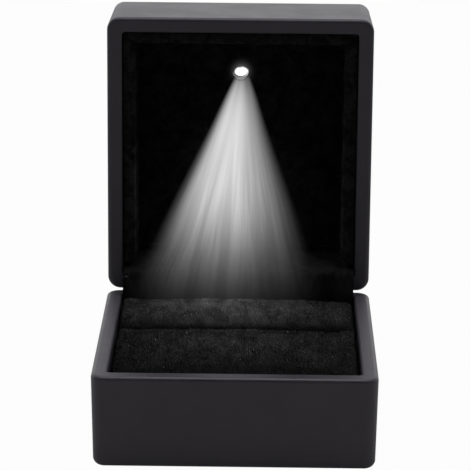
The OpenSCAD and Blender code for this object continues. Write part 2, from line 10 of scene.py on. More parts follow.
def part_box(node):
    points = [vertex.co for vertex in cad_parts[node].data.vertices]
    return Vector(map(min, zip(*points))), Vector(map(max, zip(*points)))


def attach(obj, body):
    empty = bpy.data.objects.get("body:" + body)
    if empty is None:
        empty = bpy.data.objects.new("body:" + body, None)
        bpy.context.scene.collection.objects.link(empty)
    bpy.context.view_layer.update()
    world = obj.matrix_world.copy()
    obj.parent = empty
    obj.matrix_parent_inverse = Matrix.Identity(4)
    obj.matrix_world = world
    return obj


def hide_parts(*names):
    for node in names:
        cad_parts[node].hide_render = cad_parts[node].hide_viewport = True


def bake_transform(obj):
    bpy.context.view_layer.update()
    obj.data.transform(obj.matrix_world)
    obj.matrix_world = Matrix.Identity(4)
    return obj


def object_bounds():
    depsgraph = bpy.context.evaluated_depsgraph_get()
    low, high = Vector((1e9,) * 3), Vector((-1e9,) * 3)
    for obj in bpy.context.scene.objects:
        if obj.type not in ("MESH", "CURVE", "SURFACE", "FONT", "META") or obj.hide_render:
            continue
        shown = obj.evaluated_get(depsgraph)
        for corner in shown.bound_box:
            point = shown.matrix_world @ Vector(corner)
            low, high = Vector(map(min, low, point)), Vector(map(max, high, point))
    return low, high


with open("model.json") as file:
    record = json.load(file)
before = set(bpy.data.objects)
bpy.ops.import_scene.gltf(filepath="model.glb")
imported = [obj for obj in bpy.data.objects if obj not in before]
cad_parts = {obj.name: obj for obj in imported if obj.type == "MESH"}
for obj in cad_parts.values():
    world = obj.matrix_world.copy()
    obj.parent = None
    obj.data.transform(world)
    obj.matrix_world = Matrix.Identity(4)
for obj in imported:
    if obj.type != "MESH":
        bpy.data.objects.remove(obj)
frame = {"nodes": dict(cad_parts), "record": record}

cadBounds = [list(corner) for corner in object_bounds()]
mm = 0.001
perMetre = 1000    # millimetres in a metre
uvUnit = 0.1       # the flap's UV maps are laid out in decimetres
print("frame loaded")


# A Python operator between wires, as a Math node. Swapped, the wire is on the right.
def operator(operation, swapped=False):
    def apply(self, other):
        pair = (other, self) if swapped else (self, other)
        return self.graph.maths(operation, *pair)
    return apply


# A socket of a node tree that can be added, multiplied and so on
class Wire:
    def __init__(self, graph, socket):
        self.graph, self.socket = graph, socket

    # another output of the same node
    def of(self, name):
        return Wire(self.graph, self.socket.node.outputs[name])

    __add__, __radd__ = operator("ADD"), operator("ADD", swapped=True)
    __sub__, __rsub__ = operator("SUBTRACT"), operator("SUBTRACT", swapped=True)
    __mul__, __rmul__ = operator("MULTIPLY"), operator("MULTIPLY", swapped=True)
    __truediv__, __rtruediv__ = operator("DIVIDE"), operator("DIVIDE", swapped=True)
    __pow__ = operator("POWER")


class Graph:
    def __init__(self, tree):
        self.tree = tree
        tree.nodes.clear()

    # a node of that type: its settings first, then a value or a wire for each socket
    def add(self, kind, settings=None, sockets=None, out=0):
        node = self.tree.nodes.new(kind)
        for key, value in (settings or {}).items():
            setattr(node, key, value)
        for key, value in (sockets or {}).items():
            if isinstance(value, Wire):
                self.tree.links.new(value.socket, node.inputs[key])
            else:
                node.inputs[key].default_value = value
        return Wire(self, node.outputs[out]) if len(node.outputs) else None

    def maths(self, operation, *values):
        return self.add("ShaderNodeMath", {"operation": operation}, dict(enumerate(values)))

    def vectors(self, operation, *values):
        return self.add("ShaderNodeVectorMath", {"operation": operation}, dict(enumerate(values)))

    def axes(self, vector):
        x = self.add("ShaderNodeSeparateXYZ", None, {0: vector})
        return x, x.of("Y"), x.of("Z")

    # 0 below low, 1 above high, smooth between
    def smooth(self, value, low, high):
        return self.add("ShaderNodeMapRange", {"interpolation_type": "SMOOTHSTEP"},
                        {"Value": value, "From Min": low, "From Max": high})

    # a bell curve round centre
    def bell(self, value, centre, width):
        t = (value - centre) / width
        return self.maths("EXPONENT", t * t * -1)

    # a camera ray, and a ray that something shiny or clear sends on
    def rays(self):
        camera = self.add("ShaderNodeLightPath", out="Is Camera Ray")
        return camera, self.maths("MAXIMUM", camera.of("Is Glossy Ray"), camera.of("Is Transmission Ray"))


# One finish: a material whose patterns lie on the object's own millimetres
class Finish(Graph):
    def __init__(self, name, cloth=None):
        self.material = bpy.data.materials.new(name)
        self.material.use_nodes = True
        super().__init__(self.material.node_tree)
        self.cloth = cloth    # name of the UV map that a cloth's weave follows

    def onObject(self):
        return self.add("ShaderNodeTexCoord", out="Object")

    def onCloth(self, uvMap):
        laid = self.add("ShaderNodeUVMap", {"uv_map": uvMap})
        return self.vectors("MULTIPLY", laid, (uvUnit,) * 3)

    def point(self):
        return self.onObject() if self.cloth is None else self.onCloth(self.cloth)

    # x, y and z of a point, in millimetres
    def places(self, point):
        return self.axes(self.vectors("MULTIPLY", point, (perMetre,) * 3))

    # grey noise, size being the width of its features in millimetres
    def grain(self, size, detail=3.0, rough=0.55, stretch=(1, 1, 1), twist=0.0):
        scaled = self.add("ShaderNodeMapping", None, {"Vector": self.point(), "Scale": stretch})
        return self.add("ShaderNodeTexNoise", None, {
            "Vector": scaled, "Scale": 1 / (size * mm), "Detail": detail,
            "Roughness": rough, "Distortion": twist})

    def mixColours(self, share, a, b):
        return self.add("ShaderNodeMix", {"data_type": "RGBA"}, {0: share, 6: a, 7: b}, out=2)

    # white light of that strength
    def white(self, strength):
        return self.mixColours(strength, (0, 0, 0, 1), (1, 1, 1, 1))

    def bump(self, height, depth, strength):
        return self.add("ShaderNodeBump", None,
                        {"Height": height, "Distance": depth * mm, "Strength": strength})

    # the shader itself; returns the finished material
    def surface(self, **looks):
        names = {"colour": "Base Color", "rough": "Roughness", "metal": "Metallic", "ior": "IOR",
                 "coat": "Coat Weight", "sheen": "Sheen Weight", "sheenRough": "Sheen Roughness",
                 "sheenTint": "Sheen Tint", "glow": "Emission Color", "glowPower": "Emission Strength",
                 "normal": "Normal", "level": "Specular IOR Level", "shineTint": "Specular Tint"}
        shader = self.add("ShaderNodeBsdfPrincipled", None, {names[k]: v for k, v in looks.items()})
        self.add("ShaderNodeOutputMaterial", None, {"Surface": shader})
        return self.material


def grey(value):
    return (value, value, value, 1)


shellLook = {"dark": (0.0365, 0.0335, 0.0425, 1), "light": (0.0455, 0.042, 0.052, 1), "ior": 1.50,
             "shineTint": (1.0, 0.94, 1.0, 1), "roughLow": 0.36, "roughHigh": 0.46,
             "cloudSize": 9, "cloudRange": (0.35, 0.65), "cloudShare": 0.6,
             "wipedSize": 2.5, "wiped": (1, 6, 1),
             "grainSize": 0.16, "grainDepth": 0.012, "grainStrength": 0.6}


# Soft-touch paint: a dull black with a fine grain, and clouds where it has been handled
def softTouchFinish(name, look=shellLook):
    f = Finish(name)
    cloud = f.smooth(f.grain(look["cloudSize"], 4, 0.6), *look["cloudRange"])
    fine = f.grain(look["grainSize"], 2, 0.7)
    wiped = f.grain(look["wipedSize"], 4, 0.65, stretch=look["wiped"])
    colour = f.mixColours(cloud, look["dark"], look["light"])
    handled = look["cloudShare"] * cloud + (1 - look["cloudShare"]) * wiped
    rough = look["roughLow"] + (look["roughHigh"] - look["roughLow"]) * handled
    return f.surface(colour=colour, rough=rough, ior=look["ior"], shineTint=look["shineTint"],
                     normal=f.bump(fine, look["grainDepth"], look["grainStrength"]))


steelLook = {"bright": (0.62, 0.60, 0.57, 1), "dull": (0.42, 0.41, 0.40, 1),
             "stainSize": 4, "stainRange": (0.4, 0.7), "rough": 0.24, "linesRough": 0.22,
             "lineSize": 0.9, "rolled": (0.08, 4, 4), "lineDepth": 0.006, "lineStrength": 0.5}


def steelFinish(name, rolled=True, look=steelLook):
    f = Finish(name)
    lines = f.grain(look["lineSize"], 5, 0.7, stretch=look["rolled"] if rolled else (1, 1, 1))
    stain = f.smooth(f.grain(look["stainSize"]), *look["stainRange"])
    colour = f.mixColours(stain, look["bright"], look["dull"])
    return f.surface(colour=colour, metal=1.0, rough=look["rough"] + look["linesRough"] * lines,
                     normal=f.bump(lines, look["lineDepth"], look["lineStrength"]))


cloudedLook = {"range": (0.3, 0.7), "cloudRough": 0.12, "depth": 0.01, "strength": 0.5}


# Moulded, painted or plated parts: one colour with a cloudy second tone and a slight unevenness
def clouded(name, colour, rough, size, spread=0.25, look=cloudedLook, **more):
    f = Finish(name)
    cloud = f.grain(size, 4, 0.6)
    low = tuple(c * (1 - spread) for c in colour)
    blend = f.mixColours(f.smooth(cloud, *look["range"]), (*low, 1), (*colour, 1))
    return f.surface(colour=blend, rough=rough + look["cloudRough"] * cloud,
                     normal=f.bump(cloud, look["depth"], look["strength"]), **more)


velvetLook = {"root": 0.0018, "tip": 0.024, "warm": 0.04, "brushed": (1, 0.35, 1),
              "patch": 3.0, "patchRange": (0.38, 0.62), "patchShare": 0.46, "patchNap": 0.6,
              "clump": 0.9, "clumpRange": (0.38, 0.68), "clumpShare": 0.27, "clumpNap": 0.5,
              "fleck": 0.25, "fleckRange": (0.42, 0.68), "fleckShare": 0.27, "fleckNap": 0.35,
              "flat": (-30, -8), "frontShadeShare": 0.9, "rough": 0.95, "ior": 1.3, "level": 0.15,
              "sheenRough": 0.35, "sheenTint": (0.80, 0.80, 0.84, 1), "depth": 0.4, "strength": 0.9}


# Velvet: brushed patches a few millimetres wide, clumps of pile in them, and single lighter fibres.
# Painted shade: the colour darkens below the two heights in fold, low on the pads and in the slit
# between them, and along the front edge, where the front rim shades it.
def velvetFinish(name, lift, sheen, cloth=None, glow=None, mottle=0.0, fold=None, look=velvetLook):
    f = Finish(name, cloth)
    patch = f.grain(look["patch"], 4, 0.6, stretch=look["brushed"], twist=0.6)
    clump = f.grain(look["clump"], 4, 0.7, stretch=look["brushed"])
    fleck = f.grain(look["fleck"], 2, 0.8, stretch=look["brushed"])
    height = look["patchShare"] * f.smooth(patch, *look["patchRange"]) \
        + look["clumpShare"] * f.smooth(clump, *look["clumpRange"]) \
        + look["fleckShare"] * f.smooth(fleck, *look["fleckRange"])
    # painted shade: darker low on the pads and along their front edge
    if fold is not None:
        x, y, z = f.places(f.onObject())
        frontShade = look["frontShadeShare"] * (1 - f.smooth(y, *look["flat"]))
        height = height * f.smooth(z, *fold) * (1 - frontShade)
    # lift makes each copy of the velvet lighter or darker with how brightly its place is lit: painted light
    # and shade
    tip = look["tip"] * lift
    colour = f.mixColours(height, grey(look["root"] * lift), (tip * (1 + look["warm"]), tip, tip, 1))
    nap = clump * look["clumpNap"] + fleck * look["fleckNap"] + patch * look["patchNap"]
    looks = {key: look[key] for key in ("rough", "ior", "level", "sheenRough", "sheenTint")}
    looks.update(colour=colour, sheen=sheen, normal=f.bump(nap, look["depth"], look["strength"]))
    if glow is not None:
        lit = glow(f) * (1 - mottle + 2 * mottle * height)
        looks.update(glow=f.white(lit), glowPower=1.0)
    return f.surface(**looks)


# The lamp's fan of light, painted on the velvet as a glow. It spreads from a point a little above the lamp.
# Angles are from straight down, to the right being positive: a low shelf of light, with a wide bright lobe
# in the middle and a narrow one at the left edge, each with its centre, width and strength.
lampLow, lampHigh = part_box("lamp")
panelLow, panelHigh = (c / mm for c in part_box("lid_panel"))
fanLook = {"lampZ": (lampLow.z + lampHigh.z) / 2 / mm, "sourceX": 0.6, "sourceRise": 2.57, "shelf": 0.25,
           "lobe": (-5.2, 10.8, 0.50), "edgeLobe": (-16.5, 4.6, 0.30),
           "leftEdge": (-26.4, -19.6), "rightEdge": (9, 20.3),
           "blur": 4.5, "blurReach": 9, "leftBlur": 0.6,    # softer edges near the lamp
           "spot": (0.2, 0.16), "halo": 0.12, "haloSize": 1.55,
           "dim": 0.95, "rise": 5, "fadeFrom": 25.0, "fadeLength": 18.3, "fadePower": 2.25,
           "rays": 0.26, "rayWidth": 3.4, "rayBend": 0.02, "raySlice": 4.1,
           "rayReach": (8, 34), "rayRange": (0.34, 0.62), "top": (0.3, 1.8), "napSize": 0.35, "nap": 0.08,
           "slant": 0.279,    # tangent of the angle at which the camera looks down
           "padFoot": 18.4, "padTop": 21.0, "padGain": 2.0}


def fanGlow(f, look=fanLook):
    if f.cloth is None:
        across, y, z = f.places(f.onObject())
        up = z - (panelLow.y - y) * look["slant"]
    else:
        across, up = f.places(f.onCloth("light"))[:2]
    down = look["lampZ"] - up
    reach = f.maths("SQRT", across * across + down * down)
    angle = f.maths("ARCTAN2", across - look["sourceX"], down + look["sourceRise"]) * (180 / math.pi)
    light = look["shelf"]
    for centre, width, strength in (look["lobe"], look["edgeLobe"]):
        light = light + strength * f.bell(angle, centre, width)
    blur = look["blur"] * f.bell(reach, 0, look["blurReach"])
    light = light * f.smooth(angle + look["leftBlur"] * blur, *look["leftEdge"])
    light = light * (1 - f.smooth(angle - blur, *look["rightEdge"]))
    rise = 1 - look["dim"] * f.maths("EXPONENT", reach / -look["rise"])
    fade = f.maths("MAXIMUM", reach - look["fadeFrom"], 0) / look["fadeLength"]
    light = light * rise * f.maths("EXPONENT", fade ** look["fadePower"] * -1)
    # faint rays, which show a little below the lamp
    turn = f.add("ShaderNodeCombineXYZ", None, {
        0: angle / look["rayWidth"], 1: reach * look["rayBend"], 2: look["raySlice"]})
    rays = f.add("ShaderNodeTexNoise", None, {"Vector": turn, "Scale": 1.0, "Detail": 3, "Roughness": 0.6})
    between = 1 - f.smooth(rays, *look["rayRange"])
    light = light * (1 - look["rays"] * f.smooth(reach, *look["rayReach"]) * between)
    nap = 1 - look["nap"] / 2 + look["nap"] * f.grain(look["napSize"], 2, 0.7)
    light = light * f.smooth(down, *look["top"]) * nap
    besideSpot, belowSpot = across - look["spot"][0], down + look["spot"][1]
    fromSpot = f.maths("SQRT", besideSpot * besideSpot + belowSpot * belowSpot)
    return light + look["halo"] * f.bell(fromSpot, 0, look["haloSize"])


# The painted fan of light on the pads keeps to their tops
def padGlow(f, look=fanLook):
    z = f.places(f.onObject())[2]
    return look["padGain"] * fanGlow(f) * f.smooth(z, look["padFoot"], look["padTop"])


# Lit from inside: white in the wide spot where the lamp's light leaves it, dim round that, with a
# darker notch of painted shade at its top, under the hole's upper edge, and dark deep in the hole
litLook = {"halfWidth": 1.62, "halfHeight": 1.14, "soft": 0.12, "notch": (-0.15, 0.35), "notchShade": 0.7,
           "notchRange": (0.6, 0.95), "deepest": (2.6, 3.4), "cloudSize": 0.5, "shade": 0.8,
           "rough": 0.55, "depth": 0.01, "strength": 0.4}


def lampFinish(name, colour, fanShare, look=litLook):
    f = Finish(name)
    x, y, z = f.places(f.onObject())
    spotX, spotUp = fanLook["spot"]
    across = (x - spotX) / look["halfWidth"]
    seenAt = z - (panelLow.y - y) * fanLook["slant"]
    up = (seenAt - fanLook["lampZ"] - spotUp) / look["halfHeight"]
    out = f.maths("SQRT", across * across + up * up)
    spot = 1 - f.smooth(out, 1 - look["soft"], 1 + look["soft"])
    # painted shade: the notch darkens the top of the lit spot
    notch = look["notchShade"] * f.bell(x, *look["notch"]) * f.smooth(up, *look["notchRange"])
    shown = 1 - f.smooth(y - panelHigh.y, *look["deepest"])
    lit = (spot * (1 - notch) + fanShare * fanGlow(f)) * shown
    cloud = f.grain(look["cloudSize"])
    body = f.mixColours(cloud, (*colour, 1), (*(c * look["shade"] for c in colour), 1))
    return f.surface(colour=body, rough=look["rough"], glow=f.white(lit), glowPower=1.0,
                     normal=f.bump(cloud, look["depth"], look["strength"]))


finishes = {
    "shell": softTouchFinish("soft touch paint"),
    "card": clouded("black card", (0.012, 0.012, 0.013), 0.7, 0.5, 0.4),
    "hinge_steel": steelFinish("rolled steel"),
    "screw_steel": steelFinish("bright steel", rolled=False),
    "spring_steel": steelFinish("spring wire"),
    "module_plastic": clouded("module plastic", (0.014, 0.014, 0.016), 0.38, 0.6),
    "board": clouded("circuit board", (0.015, 0.11, 0.05), 0.3, 1.5, 0.35, coat=0.4),
    "resistor": clouded("resistor body", (0.50, 0.38, 0.22), 0.35, 0.7),
    "cell_steel": steelFinish("cell steel", rolled=False),
    "contact_brass": clouded("contact brass", (0.72, 0.53, 0.24), 0.25, 1.2, 0.3, metal=1.0),
    "lead_sleeve": clouded("lead sleeve", (0.42, 0.03, 0.025), 0.45, 0.6),
    "plunger_plastic": clouded("plunger plastic", (0.74, 0.74, 0.70), 0.4, 0.6, 0.12),
    "lamp_lens": lampFinish("lit lens", (0.30, 0.30, 0.30), 1.0),
    # The lift values differ with how brightly each velvet's place is lit: painted light and shade
    "pad_velvet": velvetFinish("pad velvet", lift=2.6, sheen=0.2, glow=padGlow, mottle=0.55,
                               fold=(18.8, 21.3)),
    "lining_velvet": velvetFinish("lining velvet", lift=1.4, sheen=0.06),
}
# The panel and the flap glow with the painted fan of the lamp's light
panelVelvet = velvetFinish("panel velvet", lift=0.8, sheen=0.03, glow=fanGlow)
flapVelvet = velvetFinish("flap velvet", lift=0.5, sheen=0.04, cloth="cloth", glow=fanGlow)
lintFinish = clouded("grey lint", (0.35, 0.35, 0.34), 0.8, 0.3)
# The bezel is no lamp: it carries a painted glow of the lamp's spot and fan of light
bezelFinish = lampFinish("bezel plastic", (0.006, 0.006, 0.007), 0.7)

slotOf = {row["node"]: row["material_slot"] for row in frame["record"]["subparts"]}
ownFinish = {"lid_panel": panelVelvet, "lamp_bezel": bezelFinish}
for node, part in frame["nodes"].items():
    part.data.materials.clear()
    part.data.materials.append(ownFinish.get(node, finishes[slotOf[node]]))
print("finishes made")


def newPiece(name, mesh, finish, smoothed=True):
    mesh.materials.clear()
    mesh.materials.append(finish)
    if smoothed:
        mesh.shade_smooth()
    piece = bpy.data.objects.new(name, mesh)
    bpy.context.scene.collection.objects.link(piece)
    return piece


def settle(piece, body, slotName, *replaced):
    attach(piece, body)
    if replaced:
        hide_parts(*replaced)


# What the piece's modifiers make of it becomes its mesh
def bake(piece):
    graph = bpy.context.evaluated_depsgraph_get()
    graph.update()
    made = bpy.data.meshes.new_from_object(piece.evaluated_get(graph))
    piece.modifiers.clear()
    piece.data = made
    return piece


# A copy of a CAD node's mesh, with its loose triangles joined
def joinedCopy(node):
    mesh = frame["nodes"][node].data.copy()
    bm = bmesh.new()
    bm.from_mesh(mesh)
    bmesh.ops.remove_doubles(bm, verts=bm.verts, dist=1e-6)
    bm.to_mesh(mesh)
    bm.free()
    return mesh


def meshFrom(bm, name):
    mesh = bpy.data.meshes.new(name)
    bm.to_mesh(mesh)
    bm.free()
    return mesh


def corners(mesh):
    flat = np.empty(len(mesh.vertices) * 3, np.float32)
    mesh.vertices.foreach_get("co", flat)
    return flat.reshape(-1, 3).astype(float)


def setCorners(mesh, places):
    mesh.vertices.foreach_set("co", places.astype(np.float32).ravel())
    mesh.update()


# Moves each point along its normal by amount(point), both in millimetres
def press(piece, amount):
    mesh = piece.data
    places = corners(mesh)
    normals = np.array([v.normal for v in mesh.vertices])
    moves = np.array([amount(p / mm) for p in places])
    setCorners(mesh, places + normals * moves[:, None] * mm)


def ease(value, low, high):
    t = np.clip((value - low) / (high - low), 0, 1)
    return t * t * (3 - 2 * t)


rippleLook = {"gain": 1.6, "seedX": 7.3, "seedY": -3.1}


# A noise that runs from about -1 to 1, with features that many millimetres wide. Each seed is
# another place in it.
def ripple(p, size, seed=0, look=rippleLook):
    seedX, seedY = seed * look["seedX"], seed * look["seedY"]
    place = Vector((p[0] / size + seedX, p[1] / size + seedY, p[2] / size))
    return noise.noise(place) * look["gain"]


# The two ring pads: foam blocks in velvet, swollen by a cloth simulation
padLook = {"tight": (0.99, 0.975, 0.99), "simScale": 10, "voxel": 0.75, "pinHeight": 3, "mostMove": 0.35,
           "pressure": 2, "frames": 18, "quality": 5, "mass": 0.3, "stretch": 15, "shear": 7.5, "bend": 0.5,
           "clumpSize": 1.7, "clumpDepth": 0.10, "patchSize": 5.5, "patchDepth": 0.16}
# how much each pad's left, right and back edges stand up, and how far its sides fill the box
padEdges = {"ring_pad_front": {"left": 0.6, "right": 0.8, "back": 0.45, "out": 0.3},
            "ring_pad_rear": {"left": 0.7, "right": 0.1, "back": 0.35, "out": 0.3}}
# where those edges start and end: heights, distances from the middle and from the pad's back
edgeLook = {"rise": (15.5, 18.5), "side": (22.5, 26.3), "fromBack": (5, 1.5),
            "outSide": (24, 26.3), "outRise": (15.2, 16.4)}


def swell(piece, look=padLook):
    scale = look["simScale"]
    start = corners(piece.data)
    pinned = piece.vertex_groups.new(name="pinned")
    low = start[:, 2].min()
    held = [i for i, p in enumerate(start) if p[2] < low + look["pinHeight"] * mm * scale]
    pinned.add(held, 1.0, "REPLACE")
    cloth = piece.modifiers.new("cloth", "CLOTH")
    settings = cloth.settings
    settings.quality = look["quality"]
    settings.mass = look["mass"]
    settings.tension_stiffness = settings.compression_stiffness = look["stretch"]
    settings.shear_stiffness = look["shear"]
    settings.bending_stiffness = look["bend"]
    settings.use_pressure = True
    settings.uniform_pressure_force = look["pressure"]
    settings.vertex_group_mass = "pinned"
    settings.effector_weights.gravity = 0
    cloth.point_cache.frame_end = look["frames"]
    for step in range(1, look["frames"] + 1):
        bpy.context.scene.frame_set(step)
    bake(piece)
    moved = corners(piece.data) - start
    far = np.linalg.norm(moved, axis=1)
    most = look["mostMove"] * mm * scale
    moved *= (np.tanh(far / most) * most / np.maximum(far, 1e-9))[:, None]
    setCorners(piece.data, start + moved)
    bpy.context.scene.frame_set(1)
    piece.vertex_groups.clear()


# The side and back edges stand up, and the sides fill the gap over the tray
def trimPad(piece, edges, backY, look=edgeLook):
    x, y, z = (corners(piece.data) / mm).T
    lift = ease(abs(x), *look["side"]) * np.where(x < 0, edges["left"], edges["right"])
    fromBack, toBack = look["fromBack"]
    lift = lift + edges["back"] * ease(y, backY - fromBack, backY - toBack)
    out = edges["out"] * ease(abs(x), *look["outSide"]) * ease(z, *look["outRise"])
    high = ease(z, *look["rise"])
    setCorners(piece.data, np.stack([x + np.sign(x) * out, y, z + lift * high], 1) * mm)


def makePad(node, seed, look=padLook):
    mesh = joinedCopy(node)
    low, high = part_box(node)
    middle = np.array([*(low + high) / 2])
    middle[2] = low.z
    scale = look["simScale"]
    setCorners(mesh, ((corners(mesh) - middle) * look["tight"] + middle) * scale)
    piece = newPiece(node + "_velvet", mesh, finishes["pad_velvet"])
    remesh = piece.modifiers.new("remesh", "REMESH")
    remesh.mode = "VOXEL"
    remesh.voxel_size = look["voxel"] * mm * scale
    remesh.use_smooth_shade = True
    bake(piece)
    swell(piece)
    setCorners(piece.data, corners(piece.data) / scale)
    smooth = piece.modifiers.new("smooth", "SMOOTH")
    smooth.iterations = 1
    finer = piece.modifiers.new("finer", "SUBSURF")
    finer.levels = finer.render_levels = 1
    bake(piece)
    trimPad(piece, padEdges[node], high.y / mm)

    def unevenness(p):
        brushed = p * velvetLook["brushed"]
        return look["clumpDepth"] * ripple(brushed, look["clumpSize"], seed) \
            + look["patchDepth"] * ripple(p, look["patchSize"], seed + 1)
    press(piece, unevenness)
    piece.data.materials.clear()
    piece.data.materials.append(finishes["pad_velvet"])
    settle(piece, "base", "pad_velvet", node)
    top = corners(piece.data)[:, 2].max() / mm
    print(piece.name, len(piece.data.polygons), "faces, top", round(top, 2))
    return piece


frontPad = makePad("ring_pad_front", 1)
rearPad = makePad("ring_pad_rear", 2)


# Pile: short closed tufts that lean with the brushed patches
tuftLook = {"lean": 2.0, "patch": 2.6, "loose": 0.35, "smallest": 0.55, "largest": 1.2, "sunk": 0.2}


def makePileTree(look=tuftLook):
    tree = bpy.data.node_groups.new("velvet pile", "GeometryNodeTree")
    tree.is_modifier = True
    for name, kind in (("Cloth", "Geometry"), ("Per mm2", "Float"), ("Height", "Float"),
                       ("Width", "Float"), ("Lean", "Float"), ("Patch", "Float"),
                       ("Lowest", "Float"), ("Finish", "Material"), ("Seed", "Int")):
        tree.interface.new_socket(name, in_out="INPUT", socket_type="NodeSocket" + kind)
    tree.interface.new_socket("Pile", in_out="OUTPUT", socket_type="NodeSocketGeometry")
    g = Graph(tree)
    given = g.add("NodeGroupInput")
    place = g.add("GeometryNodeInputPosition")
    high = g.add("FunctionNodeCompare", {"data_type": "FLOAT", "operation": "GREATER_THAN"},
                 {0: g.axes(place)[2], 1: given.of("Lowest")})
    perMetre2 = given.of("Per mm2") * perMetre ** 2
    roots = g.add("GeometryNodeDistributePointsOnFaces", {"distribute_method": "RANDOM"}, {
        "Mesh": given, "Selection": high, "Density": perMetre2, "Seed": given.of("Seed")})
    along = g.vectors("MULTIPLY", place, velvetLook["brushed"])
    brushed = g.add("ShaderNodeTexNoise", None,
                    {"Vector": along, "Scale": 1 / given.of("Patch"), "Detail": 3}, out="Color")
    loose = g.add("FunctionNodeRandomValue", {"data_type": "FLOAT_VECTOR"}, {
        0: (-look["loose"],) * 3, 1: (look["loose"],) * 3, "Seed": given.of("Seed")})
    lean = g.add("ShaderNodeVectorMath", {"operation": "SCALE"}, {
        0: g.vectors("SUBTRACT", brushed, (0.5, 0.5, 0.5)), "Scale": given.of("Lean")})
    way = g.vectors("ADD", g.vectors("ADD", roots.of("Normal"), lean), loose)
    turn = g.add("FunctionNodeAlignRotationToVector", {"axis": "Z"}, {"Vector": way})
    tuft = g.add("GeometryNodeMeshCone", {"fill_type": "NGON"}, {
        "Vertices": 3, "Side Segments": 1, "Fill Segments": 1,
        "Radius Top": 0, "Radius Bottom": 0.5, "Depth": 1})
    sunk = g.add("GeometryNodeTransform", None, {
        "Geometry": tuft, "Translation": (0, 0, -look["sunk"])})
    size = g.add("FunctionNodeRandomValue", {"data_type": "FLOAT"}, {
        2: look["smallest"], 3: look["largest"], "Seed": given.of("Seed") + 1}, out=1)
    wide = given.of("Width") * size
    scale = g.add("ShaderNodeCombineXYZ", None, {0: wide, 1: wide, 2: given.of("Height") * size})
    tufts = g.add("GeometryNodeInstanceOnPoints", None, {
        "Points": roots, "Instance": sunk, "Rotation": turn, "Scale": scale})
    real = g.add("GeometryNodeRealizeInstances", None, {0: tufts})
    done = g.add("GeometryNodeSetMaterial", None, {"Geometry": real, "Material": given.of("Finish")})
    g.add("NodeGroupOutput", None, {0: done})
    return tree


pileTree = makePileTree()
padPile = {"kind": "_pile", "perMm2": 19, "lowest": 15, "height": 0.42, "width": 0.19}
padLint = {"kind": "_lint", "perMm2": 0.03, "lowest": 19, "height": 0.5, "width": 0.36}
liningPile = {"kind": "_pile", "perMm2": 9, "lowest": 27.5, "height": 0.4, "width": 0.19}


def growPile(piece, look, seed, finish, slotName, body):
    pile = newPiece(piece.name.replace("_velvet", look["kind"]), piece.data.copy(), finish)
    grown = pile.modifiers.new("pile", "NODES")
    grown.node_group = pileTree
    values = {"Per mm2": look["perMm2"], "Lowest": look["lowest"] * mm, "Height": look["height"] * mm,
              "Width": look["width"] * mm, "Lean": tuftLook["lean"], "Patch": tuftLook["patch"] * mm,
              "Finish": finish, "Seed": seed}
    for item in pileTree.interface.items_tree:
        if item.in_out == "INPUT" and item.name in values:
            grown[item.identifier] = values[item.name]
    bake(pile)
    settle(pile, body, slotName)
    print(pile.name, len(pile.data.polygons), "faces")


for pad, seed in ((frontPad, 11), (rearPad, 12)):
    growPile(pad, padPile, seed, finishes["pad_velvet"], "pad_velvet", "base")
for pad, seed in ((frontPad, 13), (rearPad, 14)):
    growPile(pad, padLint, seed, lintFinish, "pad_velvet", "base")


# The padded frame round the lid's lining, mitred at its two corners
frameLow, frameHigh = (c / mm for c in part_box("lid_liner_frame"))
linerLook = {"side": 3.0, "top": 2.7, "edge": 1.15, "crown": 0.28, "step": 0.8, "endRise": 1.8,
             "crownFrom": 0.06, "crownPoints": 5, "edgePoints": 7, "insidePoints": 16, "backPoints": 6,
             "backFrom": 0.3, "wrinkle": 0.10, "small": 1.5, "large": 6,
             "largeShare": 1.3, "atWall": 0.3, "pucker": 0.22, "puckerWidth": 0.12, "puckerDeep": 2}


# Half section of the frame: from 0 at the wall to 1 at its inner side, and back from the front
def linerSection(look=linerLook):
    depth = frameHigh.y - frameLow.y
    r = look["edge"] / look["side"]
    ring = [(a, 0.0) for a in np.linspace(look["crownFrom"], 1 - r, look["crownPoints"])]
    for t in np.linspace(0, math.pi / 2, look["edgePoints"])[1:]:
        ring.append((1 - r + r * math.sin(t), look["edge"] * (1 - math.cos(t))))
    ring += [(1.0, b) for b in np.linspace(look["edge"], depth, look["insidePoints"])[1:]]
    ring += [(0.5, depth), (0.0, depth)]
    ring += [(0.0, b) for b in np.linspace(depth, look["backFrom"], look["backPoints"])[1:]]
    return ring


